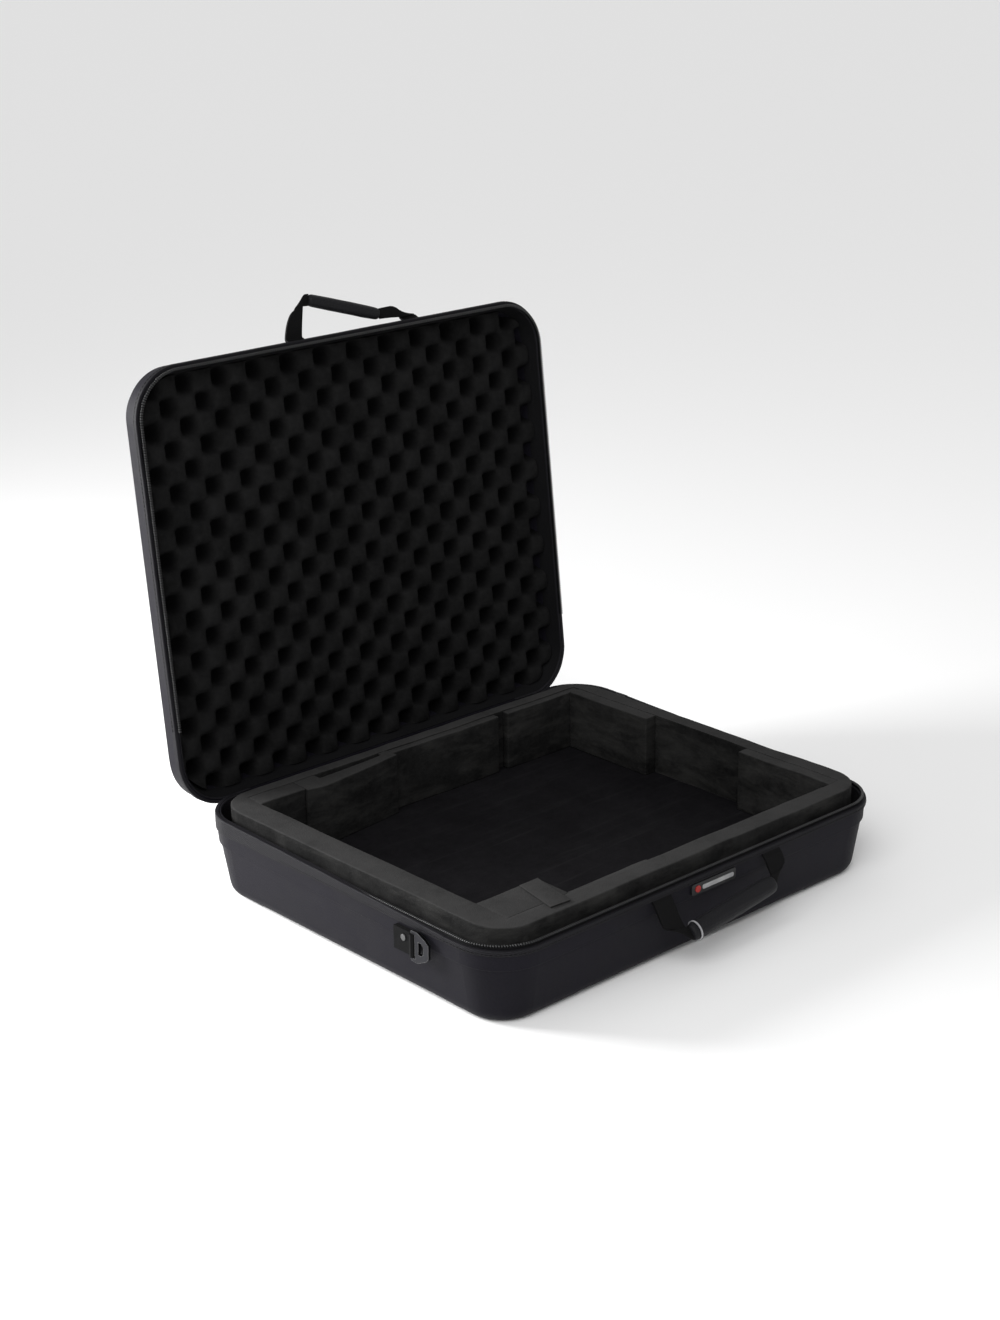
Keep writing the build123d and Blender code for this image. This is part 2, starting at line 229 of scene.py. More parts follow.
def rangeNode(tree, value, low, high, toLow=0.0, toHigh=1.0):
    node = tree.nodes.new("ShaderNodeMapRange")
    for key, number in (("From Min", low), ("From Max", high), ("To Min", toLow), ("To Max", toHigh)):
        if isinstance(number, (int, float)):
            node.inputs[key].default_value = number
        else:
            tree.links.new(number, node.inputs[key])
    tree.links.new(value, node.inputs["Value"])
    return node.outputs["Result"]


def clothGroup():
    # over and under threads in every direction, softened by uneven yarn
    sockets = [("Vector", "NodeSocketVector", None), ("Threads", "NodeSocketFloat", 900.0),
               ("Uneven", "NodeSocketFloat", 0.4)]
    group, ins, outs = newGroup("clothWeave", sockets, [("Height", "NodeSocketFloat"), ("Tone", "NodeSocketFloat")])
    scale = addNode(group, "ShaderNodeVectorMath", operation="SCALE")
    group.links.new(ins.outputs["Vector"], scale.inputs[0])
    group.links.new(times(group, ins.outputs["Threads"], math.pi), scale.inputs["Scale"])
    parts = addNode(group, "ShaderNodeSeparateXYZ")
    group.links.new(scale.outputs[0], parts.inputs[0])
    waves = [mathNode(group, "SINE", parts.outputs[i]) for i in range(3)]
    pairs = [times(group, waves[i], waves[(i + 1) % 3]) for i in range(3)]
    weave = plus(group, plus(group, pairs[0], pairs[1]), pairs[2])
    yarn = addNode(group, "ShaderNodeTexNoise", Scale=420.0, Detail=3.0, Roughness=0.6)
    group.links.new(ins.outputs["Vector"], yarn.inputs["Vector"])
    uneven = times(group, yarn.outputs[0], ins.outputs["Uneven"])
    group.links.new(plus(group, times(group, weave, 0.4), uneven), outs.inputs["Height"])
    broad = addNode(group, "ShaderNodeTexNoise", Scale=14.0, Detail=4.0, Roughness=0.55)
    group.links.new(ins.outputs["Vector"], broad.inputs["Vector"])
    fine = addNode(group, "ShaderNodeTexNoise", Scale=900.0, Detail=1.0)
    group.links.new(ins.outputs["Vector"], fine.inputs["Vector"])
    tone = plus(group, times(group, broad.outputs[0], 0.6), times(group, fine.outputs[0], 0.4))
    group.links.new(tone, outs.inputs["Tone"])
    return group


def foamGroup():
    # small closed or open cells
    sockets = [("Vector", "NodeSocketVector", None), ("Cells", "NodeSocketFloat", 700.0)]
    group, ins, outs = newGroup("foamCells", sockets, [("Height", "NodeSocketFloat"), ("Tone", "NodeSocketFloat")])
    cells = addNode(group, "ShaderNodeTexVoronoi")
    group.links.new(ins.outputs["Vector"], cells.inputs["Vector"])
    group.links.new(ins.outputs["Cells"], cells.inputs["Scale"])
    lumps = addNode(group, "ShaderNodeTexNoise", Scale=160.0, Detail=4.0, Roughness=0.65)
    group.links.new(ins.outputs["Vector"], lumps.inputs["Vector"])
    height = plus(group, times(group, cells.outputs["Distance"], 0.6), times(group, lumps.outputs[0], 0.7))
    group.links.new(height, outs.inputs["Height"])
    broad = addNode(group, "ShaderNodeTexNoise", Scale=22.0, Detail=6.0, Roughness=0.7)
    group.links.new(ins.outputs["Vector"], broad.inputs["Vector"])
    tone = plus(group, times(group, broad.outputs[0], 0.7), times(group, lumps.outputs[0], 0.3))
    group.links.new(tone, outs.inputs["Tone"])
    return group


def scuffGroup():
    # pale rubbed patches, longer one way than the other
    sockets = [("Vector", "NodeSocketVector", None), ("Stretch", "NodeSocketVector", (1.0, 1.0, 1.0)),
               ("Cover", "NodeSocketFloat", 0.4)]
    group, ins, outs = newGroup("rubbedPatches", sockets, [("Mask", "NodeSocketFloat")])
    squeeze = addNode(group, "ShaderNodeVectorMath", operation="MULTIPLY")
    group.links.new(ins.outputs["Vector"], squeeze.inputs[0])
    group.links.new(ins.outputs["Stretch"], squeeze.inputs[1])
    patches = addNode(group, "ShaderNodeTexNoise", Scale=9.0, Detail=7.0, Roughness=0.68, Distortion=0.4)
    group.links.new(squeeze.outputs[0], patches.inputs["Vector"])
    low = mathNode(group, "SUBTRACT", 0.72, times(group, ins.outputs["Cover"], 0.4))
    high = plus(group, low, 0.22)
    group.links.new(rangeNode(group, patches.outputs[0], low, high), outs.inputs["Mask"])
    return group


def edgeGroup():
    # edges and corners, where rubbing shows first
    sockets = [("Radius", "NodeSocketFloat", 0.002), ("Break", "NodeSocketFloat", 0.5),
               ("Vector", "NodeSocketVector", None)]
    group, ins, outs = newGroup("rubbedEdges", sockets, [("Mask", "NodeSocketFloat")])
    rounded = addNode(group, "ShaderNodeBevel", samples=4)
    group.links.new(ins.outputs["Radius"], rounded.inputs["Radius"])
    surface = addNode(group, "ShaderNodeNewGeometry")
    match = addNode(group, "ShaderNodeVectorMath", operation="DOT_PRODUCT")
    group.links.new(rounded.outputs[0], match.inputs[0])
    group.links.new(surface.outputs["Normal"], match.inputs[1])
    edge = rangeNode(group, match.outputs["Value"], 0.995, 0.86)
    breaks = addNode(group, "ShaderNodeTexNoise", Scale=90.0, Detail=5.0, Roughness=0.7)
    group.links.new(ins.outputs["Vector"], breaks.inputs["Vector"])
    missing = times(group, rangeNode(group, breaks.outputs[0], 0.35, 0.65), ins.outputs["Break"])
    group.links.new(mathNode(group, "SUBTRACT", edge, missing, True), outs.inputs["Mask"])
    return group


effects = {"cloth": clothGroup(), "foam": foamGroup(), "scuff": scuffGroup(), "edge": edgeGroup()}


def newMaterial(name, roughness, **constants):
    material = bpy.data.materials.new(name)
    material.use_nodes = True
    tree = material.node_tree
    shader = tree.nodes["Principled BSDF"]
    shader.inputs["Roughness"].default_value = roughness
    for key, value in constants.items():
        shader.inputs[key.replace("_", " ")].default_value = value
    place = tree.nodes.new("ShaderNodeTexCoord").outputs["Object"]
    return material, tree, shader, place


def effect(tree, key, place, **values):
    node = tree.nodes.new("ShaderNodeGroup")
    node.node_tree = effects[key]
    if place is not None:
        tree.links.new(place, node.inputs["Vector"])
    for label, value in values.items():
        node.inputs[label].default_value = value
    return node


def mixColour(tree, factor, a, b, blend="MIX"):
    node = tree.nodes.new("ShaderNodeMix")
    node.data_type = "RGBA"
    node.blend_type = blend
    if isinstance(factor, (int, float)):
        node.inputs["Factor"].default_value = factor
    else:
        tree.links.new(factor, node.inputs["Factor"])
    for socket, value in ((node.inputs[6], a), (node.inputs[7], b)):
        if isinstance(value, (tuple, list)):
            socket.default_value = (*value, 1.0)
        else:
            tree.links.new(value, socket)
    return node.outputs[2]


def bumpFrom(tree, shader, height, strength, distance):
    bump = addNode(tree, "ShaderNodeBump", Strength=strength, Distance=distance)
    tree.links.new(height, bump.inputs["Height"])
    tree.links.new(bump.outputs[0], shader.inputs["Normal"])


def clothMaterial(name, dark, light, threads, roughness, sheen, bump, gloss=0.2, rub=0.0, rubColour=None):
    material, tree, shader, place = newMaterial(name, roughness, Sheen_Weight=sheen, Sheen_Roughness=0.45,
                                                Specular_IOR_Level=gloss)
    weave = effect(tree, "cloth", place, Threads=threads)
    tone = rangeNode(tree, weave.outputs["Tone"], 0.35, 0.65)
    colour = mixColour(tree, tone, dark, light)
    if rub:
        worn = effect(tree, "scuff", place, Cover=rub)
        colour = mixColour(tree, times(tree, worn.outputs[0], 0.6), colour, rubColour)
    tree.links.new(colour, shader.inputs["Base Color"])
    dull = rangeNode(tree, weave.outputs["Tone"], 0.3, 0.7, roughness - 0.1, roughness + 0.12)
    tree.links.new(dull, shader.inputs["Roughness"])
    bumpFrom(tree, shader, weave.outputs["Height"], bump, 0.0006)
    return material


def foamMaterial(name, dark, light, cells, bump, stretch, cover, scuffColour, edgeColour, roughness,
                 topLightDustColour=None, depth=False, gloss=0.12):
    material, tree, shader, place = newMaterial(name, roughness, Specular_IOR_Level=gloss)
    pores = effect(tree, "foam", place, Cells=cells)
    colour = mixColour(tree, rangeNode(tree, pores.outputs["Tone"], 0.38, 0.62), dark, light)
    worn = effect(tree, "scuff", place, Stretch=stretch, Cover=cover)
    colour = mixColour(tree, times(tree, worn.outputs[0], 0.6), colour, scuffColour)
    if topLightDustColour:
        # painted top light and dust: what faces up is made lighter, broken up by the pore tone
        facing = addNode(tree, "ShaderNodeSeparateXYZ")
        tree.links.new(addNode(tree, "ShaderNodeNewGeometry").outputs["Normal"], facing.inputs[0])
        up = rangeNode(tree, facing.outputs[2], 0.35, 0.95)
        topLightAndDust = times(tree, up, rangeNode(tree, pores.outputs["Tone"], 0.3, 0.7, 0.55, 1.0))
        colour = mixColour(tree, topLightAndDust, colour, topLightDustColour)
    edges = effect(tree, "edge", place, Radius=0.0026, Break=0.6)
    colour = mixColour(tree, times(tree, edges.outputs[0], 0.5), colour, edgeColour)
    # painted shade: the pits of the egg-crate foam are darkened towards near-black by how deep they sit, standing
    # in for the shade inside them
    if depth:
        pitShadeNode = addNode(tree, "ShaderNodeAttribute", attribute_name="pitShade")
        colour = mixColour(tree, pitShadeNode.outputs["Fac"], colour, (0.0012, 0.0012, 0.0013))
    tree.links.new(colour, shader.inputs["Base Color"])
    bumpFrom(tree, shader, pores.outputs["Height"], bump, 0.0008)
    return material


def ribbedMaterial(name, dark, light, pitch, direction, roughness, bump):
    # woven tape: cross ribs and a fine diagonal in between
    material, tree, shader, place = newMaterial(name, roughness, Specular_IOR_Level=0.09)
    ribs = addNode(tree, "ShaderNodeTexWave", Scale=0.5 / pitch, Distortion=0.6, Detail=1.0,
                   bands_direction=direction)
    tree.links.new(place, ribs.inputs["Vector"])
    weave = effect(tree, "cloth", place, Threads=1100.0)
    tone = plus(tree, times(tree, ribs.outputs[1], 0.5), times(tree, weave.outputs["Tone"], 0.5))
    tree.links.new(mixColour(tree, rangeNode(tree, tone, 0.2, 0.8), dark, light), shader.inputs["Base Color"])
    height = plus(tree, ribs.outputs[1], times(tree, weave.outputs["Height"], 0.4))
    bumpFrom(tree, shader, height, bump, 0.0005)
    return material


def metalMaterial(name, colour, wornColour, roughness, coat=0.0):
    material, tree, shader, place = newMaterial(name, roughness, Metallic=1.0, Coat_Weight=coat)
    grain = addNode(tree, "ShaderNodeTexNoise", Scale=260.0, Detail=5.0, Roughness=0.6)
    tree.links.new(place, grain.inputs["Vector"])
    edges = effect(tree, "edge", place, Radius=0.0007, Break=0.4)
    tree.links.new(mixColour(tree, edges.outputs[0], colour, wornColour), shader.inputs["Base Color"])
    dull = rangeNode(tree, grain.outputs[0], 0.3, 0.7, roughness - 0.1, roughness + 0.12)
    tree.links.new(dull, shader.inputs["Roughness"])
    bumpFrom(tree, shader, grain.outputs[0], 0.08, 0.0003)
    return material


def plasticMaterial(name, dark, light, roughness):
    material, tree, shader, place = newMaterial(name, roughness)
    haze = addNode(tree, "ShaderNodeTexNoise", Scale=70.0, Detail=5.0, Roughness=0.6)
    tree.links.new(place, haze.inputs["Vector"])
    colour = mixColour(tree, rangeNode(tree, haze.outputs[0], 0.35, 0.65), dark, light)
    tree.links.new(colour, shader.inputs["Base Color"])
    dull = rangeNode(tree, haze.outputs[0], 0.3, 0.7, roughness - 0.08, roughness + 0.12)
    tree.links.new(dull, shader.inputs["Roughness"])
    bumpFrom(tree, shader, haze.outputs[0], 0.05, 0.0003)
    return material


looks = {
    "shell_skin": clothMaterial("shellSkin", (0.0038, 0.0034, 0.0058), (0.0076, 0.0068, 0.0110), threads=1300.0,
                                roughness=0.58, sheen=0.02, bump=0.25, gloss=0.09, rub=0.35,
                                rubColour=(0.013, 0.0125, 0.0155)),
    "binding": ribbedMaterial("edgeBinding", (0.005, 0.0048, 0.006), (0.015, 0.0145, 0.017), pitch=0.0016,
                              direction="DIAGONAL", roughness=0.55, bump=0.35),
    "zip_tape": ribbedMaterial("zipTape", (0.002, 0.002, 0.0025), (0.006, 0.006, 0.0065), pitch=0.0012,
                               direction="Z", roughness=0.7, bump=0.3),
    "zip_coil": plasticMaterial("zipCoil", (0.006, 0.006, 0.0065), (0.014, 0.014, 0.015), 0.4),
    "hinge_fabric": clothMaterial("hingeCloth", (0.005, 0.0048, 0.006), (0.011, 0.0105, 0.0125), threads=800.0,
                                  roughness=0.75, sheen=0.02, bump=0.5),
    # the cut foam gets painted top light with dust on what faces up
    "eva_foam": foamMaterial("cutFoam", (0.0036, 0.0036, 0.0037), (0.0135, 0.0133, 0.0132), cells=700.0, bump=0.5,
                             stretch=(1.6, 1.6, 5.0), cover=0.66, scuffColour=(0.034, 0.0335, 0.032),
                             edgeColour=(0.045, 0.0445, 0.043), roughness=0.85, topLightDustColour=(0.033, 0.0325, 0.0325)),
    "floor_foam": foamMaterial("floorFoam", (0.0050, 0.0047, 0.0055), (0.0085, 0.0080, 0.0092), cells=900.0,
                               bump=0.25, stretch=(0.45, 11.0, 1.0), cover=0.42,
                               scuffColour=(0.019, 0.0185, 0.0195), edgeColour=(0.02, 0.02, 0.02),
                               roughness=0.75, gloss=0.05),
    # the egg-crate foam gets painted shade in its pits
    "egg_foam": foamMaterial("eggCrateFoam", (0.0058, 0.0058, 0.0059), (0.0118, 0.0117, 0.0119), cells=1100.0,
                             bump=0.7, stretch=(1.0, 1.0, 1.0), cover=0.3, scuffColour=(0.017, 0.017, 0.017),
                             edgeColour=(0.013, 0.013, 0.013), roughness=0.95, depth=True, gloss=0.05),
    "lining_board": clothMaterial("liningCloth", (0.0025, 0.0025, 0.003), (0.005, 0.005, 0.0055), threads=900.0,
                                  roughness=0.8, sheen=0.0, bump=0.3, gloss=0.1),
    "webbing": ribbedMaterial("webbing", (0.0012, 0.0012, 0.0014), (0.0058, 0.0056, 0.0060), pitch=0.0021,
                              direction="X", roughness=0.7, bump=0.6),
    "grip_skin": clothMaterial("gripSkin", (0.0036, 0.0036, 0.0046), (0.0080, 0.0079, 0.0096), threads=1000.0,
                               roughness=0.5, sheen=0.02, bump=0.4, gloss=0.16),
    "grip_trim": plasticMaterial("gripTrim", (0.25, 0.25, 0.26), (0.38, 0.38, 0.39), 0.35),
    "badge_dark": plasticMaterial("badgePlate", (0.005, 0.005, 0.006), (0.009, 0.009, 0.010), 0.4),
    "badge_light": plasticMaterial("badgeBar", (0.22, 0.22, 0.23), (0.34, 0.34, 0.34), 0.4),
    "badge_red": plasticMaterial("badgeDot", (0.26, 0.012, 0.010), (0.36, 0.02, 0.016), 0.35),
    "ring_metal": metalMaterial("ringMetal", (0.030, 0.030, 0.034), (0.30, 0.30, 0.30), 0.36),
    "rivet_metal": metalMaterial("rivetMetal", (0.12, 0.12, 0.12), (0.35, 0.35, 0.35), 0.4),
    "zip_metal": metalMaterial("zipMetal", (0.02, 0.02, 0.023), (0.15, 0.15, 0.15), 0.35),
}
slots = {row["node"]: row["material_slot"] for row in frame["record"]["subparts"]}
for node, piece in frame["nodes"].items():
    piece.data.materials.clear()
    piece.data.materials.append(looks[slots[node]])
print("materials made")


# egg-crate foam in the lid
eggFoam = {"pitch": 0.045, "phaseX": -0.230, "phaseY": -0.190, "depth": 0.0150, "nub": 0.0030,
           "cell": 0.003, "width": 0.539, "length": 0.446, "corner": 0.047, "front": 0.1014, "back": 0.1215}


def makeEggFoam():
    e = eggFoam
    nx, ny = int(e["width"] / e["cell"]), int(e["length"] / e["cell"])
    bpy.ops.mesh.primitive_grid_add(x_subdivisions=nx, y_subdivisions=ny, size=1, location=(0, 0, e["front"]))
    piece = bpy.context.object
    piece.scale = (e["width"], e["length"], 1)
    settle(piece)
    onlySelect(piece)
    bpy.ops.object.mode_set(mode="EDIT")
    bpy.ops.mesh.select_all(action="SELECT")
    bpy.ops.mesh.extrude_region_move(TRANSFORM_OT_translate={"value": (0, 0, e["back"] - e["front"])})
    bpy.ops.mesh.select_all(action="SELECT")
    bpy.ops.mesh.normals_make_consistent(inside=False)
    bpy.ops.object.mode_set(mode="OBJECT")
    innerX, innerY = e["width"] / 2 - e["corner"], e["length"] / 2 - e["corner"]
    middle = (e["front"] + e["back"]) / 2
    pitShadeWeights = [0.0] * len(piece.data.vertices)
    for v in piece.data.vertices:
        x, y = v.co.x, v.co.y
        dx, dy = abs(x) - innerX, abs(y) - innerY
        if dx > 0 and dy > 0:
            reach = max(dx, dy) / math.hypot(dx, dy)
            v.co.x = math.copysign(innerX + dx * reach, x)
            v.co.y = math.copysign(innerY + dy * reach, y)
        x, y = v.co.x, v.co.y
        if v.co.z < middle:
            turnX = 2 * math.pi * (x - e["phaseX"]) / e["pitch"]
            turnY = 2 * math.pi * (y - e["phaseY"]) / e["pitch"]
            wave = math.cos(turnX) * math.cos(turnY)
            inPit = max(0.0, min(1.0, (wave + 0.22) / 1.08))
            inPit = inPit * inPit * (3 - 2 * inPit)
            swell = e["nub"] * (1 - max(0.0, -wave))
            rough = 0.0006 * noise.noise(Vector((x, y, 0.3)) * 60)
            rough += 0.0014 * noise.noise(Vector((x, y, 1.7)) * 9)
            v.co.z += min(e["depth"] * inPit + swell + rough + 0.0015, e["back"] - e["front"] - 0.0008)
            # the pit profile is also kept per point, as painted shade for the foam's colour
            pitShadeWeights[v.index] = inPit
    shade = piece.data.attributes.new("pitShade", "FLOAT", "POINT")
    shade.data.foreach_set("value", pitShadeWeights)
    return piece


lidFoam = makeEggFoam()
finishPiece(lidFoam, "lidEggFoam", "lid", looks["egg_foam"], 60, lidTurn)
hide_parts("lid_foam")
print("egg-crate foam made")


# painted shade: a near-black lining cloth band on the inside of both rims, darkening the inner rim wall where shade
# falls
shadeBand = {"step": 0.006, "top": 0.0007, "deep": 0.017, "wall": 0.0047, "slope": 0.378, "thickness": 0.0008}


def makeShadeBand(name, body, flip, turn):
    n = shadeBand
    rows = rimRun(n["wall"], 0.2, n["step"])
    levels = [n["top"] + (n["deep"] - n["top"]) * k / 3 for k in range(4)]
    points, faces = [], []
    for spot, heading in rows:
        inward = Vector((heading.y, -heading.x))
        for d in levels:
            place = spot + inward * d * n["slope"]
            z = case["rim"] - d
            points.append((place.x, place.y, z if flip > 0 else 2 * case["split"] - z))
    count, m = len(rows), len(levels)
    for i in range(count):
        k, nextK = i * m, (i + 1) % count * m
        for j in range(m - 1):
            faces.append((k + j, nextK + j, nextK + j + 1, k + j + 1))
    piece = meshPiece(name, points, faces)
    thick = piece.modifiers.new("cloth", "SOLIDIFY")
    thick.thickness = n["thickness"]
    thick.offset = 0
    onlySelect(piece)
    bpy.ops.object.modifier_apply(modifier="cloth")
    fixNormals(piece)
    # the near-black cloth stands in for shade on the inner rim wall
    return finishPiece(piece, name, body, looks["lining_board"], 40, turn)


makeShadeBand("shadeBandBase", "base", 1, None)
makeShadeBand("shadeBandLid", "lid", -1, lidTurn)
print("lining made")


# cut foam in the base
def softCopy(node, name, material, body="base", bevel=0.0014, wobble=0.0005, step=0.018, angle=50):
    source = frame["nodes"][node]
    piece = source.copy()
    piece.data = source.data.copy()
    piece.parent = None
    piece.matrix_world = Matrix.Identity(4)
    for key in list(piece.keys()):
        del piece[key]
    bpy.context.collection.objects.link(piece)
    low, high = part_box(node)
    onlySelect(piece)
    bpy.ops.object.mode_set(mode="EDIT")
    bpy.ops.mesh.select_all(action="SELECT")
    bpy.ops.mesh.remove_doubles(threshold=0.00002)
    bpy.ops.mesh.dissolve_limited(angle_limit=math.radians(1.0))
    for axis in range(3):
        size = high[axis] - low[axis]
        cuts = int(size / step)
        normal = Vector([1.0 if k == axis else 0.0 for k in range(3)])
        for i in range(1, cuts):
            bpy.ops.mesh.select_all(action="SELECT")
            bpy.ops.mesh.bisect(plane_co=low + normal * (size * i / cuts), plane_no=normal)
    bpy.ops.mesh.select_all(action="DESELECT")
    bpy.ops.mesh.edges_select_sharp(sharpness=math.radians(angle))
    if bevel:
        bpy.ops.mesh.bevel(offset=bevel, segments=2, profile=0.6, clamp_overlap=True)
    bpy.ops.mesh.select_all(action="SELECT")
    bpy.ops.mesh.normals_make_consistent(inside=False)
    bpy.ops.object.mode_set(mode="OBJECT")
    for v in piece.data.vertices:
        broad = noise.noise_vector(v.co * 22) * wobble
        fine = noise.noise_vector(v.co * 70 + Vector((3, 1, 2))) * wobble * 0.5
        v.co += broad + fine
    finishPiece(piece, name, body, looks[material], 40)
    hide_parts(node)
    return piece


def softFoam(node, name, material, bevel=0.0014, wobble=0.0006):
    piece = softCopy(node, name, material, "base", bevel, wobble)
    return piece


softFoam("foam_frame", "foamWalls", "eva_foam", 0.0012, 0.0007)
softFoam("rear_corner_block", "foamRearCorner", "eva_foam")
softFoam("rear_spacer", "foamRearSpacer", "eva_foam")
softFoam("rear_board_left", "foamRearBoardLeft", "eva_foam")
softFoam("rear_board_right", "foamRearBoardRight", "eva_foam")
softFoam("right_pad_rear", "foamRightPadRear", "eva_foam")
softFoam("right_pad_front", "foamRightPadFront", "eva_foam")
softFoam("front_corner_block", "foamFrontCorner", "eva_foam")
softFoam("front_corner_patch", "foamFrontPatch", "eva_foam", 0.0003, 0.0002)
softFoam("front_strip_left", "foamFrontStripLeft", "eva_foam")
softFoam("front_strip_right", "foamFrontStripRight", "eva_foam")
softFoam("floor_panel", "foamFloor", "floor_foam", 0.001, 0.0005)
print("cut foam made")


# zip coils
zipCoil = {"pitch": 0.0026, "inset": 0.0030, "width": 0.0038, "height": 0.0026,
           "baseZ": 0.08635, "lidZ": 0.08965, "lidStop": 0.144}


def makeCoilTooth():
    z = zipCoil
    bpy.ops.mesh.primitive_cylinder_add(vertices=6, radius=z["width"] / 2, depth=z["pitch"] * 0.62,
                                        rotation=(0, math.pi / 2, 0))
    tooth = bpy.context.object
    settle(tooth)
    tooth.data.transform(Matrix.Diagonal((1, 1, z["height"] / z["width"], 1)))
    onlySelect(tooth)
    bpy.ops.object.mode_set(mode="EDIT")
    bpy.ops.mesh.select_all(action="SELECT")
    bpy.ops.mesh.bevel(offset=0.0003, segments=1)
    bpy.ops.object.mode_set(mode="OBJECT")
    return tooth


def makeCoil(name, body, stopY, middleZ, turn, node):
    rows = rimRun(zipCoil["inset"], stopY, zipCoil["pitch"])
    coil = copiesAlong(name, makeCoilTooth(), rows, middleZ)
    fixNormals(coil)
    finishPiece(coil, name, body, looks["zip_coil"], 50, turn)
    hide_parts(node)
    return coil


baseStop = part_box("base_zip_teeth")[1].y
makeCoil("zipCoilBase", "base", baseStop, zipCoil["baseZ"], None, "base_zip_teeth")
makeCoil("zipCoilLid", "lid", zipCoil["lidStop"], zipCoil["lidZ"], lidTurn, "lid_zip_teeth")
print("zip coils made")


# hinge strip
hinge = {"halfWidth": 0.193, "base": 0.058, "lidReach": 0.040, "thickness": 0.0014, "across": 60}


def makeHingeStrip():
    h = hinge
    y0, z0 = lidAxis.y - 0.0006, lidAxis.z
    profile = [(y0, h["base"]), (y0, h["base"] + 0.006), (y0 + 0.0002, z0 - 0.008), (y0 + 0.0008, z0 - 0.0035)]
    tip = lidTurn @ Vector((0, y0 - 0.0002, z0 + 0.0165))
    back = lidTurn @ Vector((0, y0 - 0.0002, z0 + h["lidReach"]))
    profile += [(y0 + 0.0032, z0 - 0.0012), (y0 + 0.008, tip.z + 0.0008), (tip.y, tip.z)]
    profile += [(back.y - 0.008, back.z + 0.0008), (back.y, back.z)]
    points, faces = [], []
    n = h["across"]
    for i in range(n + 1):
        x = -h["halfWidth"] + 2 * h["halfWidth"] * i / n
        for j, (y, z) in enumerate(profile):
            ripple = 0.0006 * math.sin(x * 70) * (1 if 3 < j < 7 else 0.15)
            points.append((x, y, z + ripple))
    m = len(profile)
    for i in range(n):
        for j in range(m - 1):
            faces.append((i * m + j, (i + 1) * m + j, (i + 1) * m + j + 1, i * m + j + 1))
    piece = meshPiece("hingeStrip", points, faces)
    thick = piece.modifiers.new("cloth", "SOLIDIFY")
    thick.thickness = h["thickness"]
    thick.offset = 0
    soft = piece.modifiers.new("smooth", "SUBSURF")
    soft.levels = 1
    soft.render_levels = 1
    onlySelect(piece)
    for name in ("cloth", "smooth"):
        bpy.ops.object.modifier_apply(modifier=name)
    return piece, sum((Vector(profile[k + 1]) - Vector(profile[k])).length for k in range(m - 1))


strip, stripLength = makeHingeStrip()
fixNormals(strip)
finishPiece(strip, "hingeStrip", None, looks["hinge_fabric"], 60)
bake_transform(strip)
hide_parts("hinge_band_base", "hinge_band_lid")
print("hinge strip made")


# edge bindings and their stitching
ears = {"lift": 0.011, "outset": 0.00025, "keep": 0.3, "from": -0.16, "to": 0.225,
        "bandEnd": 0.197, "bandFree": 0.232}
stitch = {"pitch": 0.0046, "length": 0.0030, "thick": 0.0006, "outset": 0.0012, "z": 0.0787, "baseStop": 0.09}


def easeStep(value, low, high):
    t = max(0.0, min(1.0, (value - low) / (high - low)))
    return t * t * (3 - 2 * t)


def earLift(x, y):
    # the loose rim curls up towards the rear corners while the lid is open
    climb = max(0.0, min(1.0, (y - ears["from"]) / (ears["to"] - ears["from"])))
    return ears["lift"] * climb ** 0.8 * easeStep(abs(x), ears["bandEnd"], ears["bandFree"])


baseBinding = softCopy("base_binding", "edgeBindingBase", "binding", "base", 0.0, 0.0003, 0.012)
softCopy("lid_binding", "edgeBindingLid", "binding", "lid", 0.0, 0.0003, 0.012)


def makeEars():
    # the curled part of the rim, a loose layer over the binding, lifted towards the rear corners
    low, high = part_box("base_binding")
    piece = bpy.data.objects.new("rimEars", baseBinding.data.copy())
    bpy.context.collection.objects.link(piece)
    onlySelect(piece)
    bpy.ops.object.mode_set(mode="EDIT")
    bpy.ops.mesh.select_all(action="SELECT")
    bpy.ops.mesh.bisect(plane_co=(0, ears["from"], 0), plane_no=(0, 1, 0), clear_inner=True, use_fill=True)
    bpy.ops.mesh.select_all(action="SELECT")
    bpy.ops.transform.shrink_fatten(value=ears["outset"])
    bpy.ops.mesh.normals_make_consistent(inside=False)
    bpy.ops.object.mode_set(mode="OBJECT")
    for v in piece.data.vertices:
        v.co.z += earLift(v.co.x, v.co.y) * easeStep(v.co.z, low.z, high.z - 0.001)
    finishPiece(piece, "rimEars", "base", looks["binding"], 40)
    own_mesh(piece)
    return piece


makeEars()


def makeStitches(name, body, z, turn, stop):
    bpy.ops.mesh.primitive_cube_add(size=1)
    thread = bpy.context.object
    thread.scale = (stitch["length"], stitch["thick"], stitch["thick"])
    settle(thread)
    onlySelect(thread)
    bpy.ops.object.mode_set(mode="EDIT")
    bpy.ops.mesh.select_all(action="SELECT")
    bpy.ops.mesh.bevel(offset=stitch["thick"] * 0.3, segments=1)
    bpy.ops.object.mode_set(mode="OBJECT")
    piece = copiesAlong(name, thread, rimRun(-stitch["outset"], stop, stitch["pitch"]), z)
    fixNormals(piece)
    finishPiece(piece, name, body, looks["webbing"], 40, turn)
    return piece


makeStitches("bindingStitchBase", "base", stitch["z"], None, stitch["baseStop"])
makeStitches("bindingStitchLid", "lid", 2 * case["split"] - stitch["z"], lidTurn, zipCoil["lidStop"])
print("bindings and stitching made")


# carry handles
handles = {"x": 0.015, "y": -0.2376, "baseZ": 0.072, "lidZ": 0.104, "tilt": -36.0,
           "baseGrip": {"half": 0.064, "a": 0.0095, "b": 0.0075, "place": (0, 0, -0.031),
                        "lean": -math.degrees(math.atan(12 / 128))},
           "lidGrip": {"half": 0.049, "a": 0.0068, "b": 0.0056, "place": (-0.009, 0, -0.0225), "lean": -17.0},
           "rings": 40, "strapX": 0.080, "strapThick": 0.0022, "cells": 6, "steps": 6,
           "bendFrom": 0.002, "bendTo": -0.006}


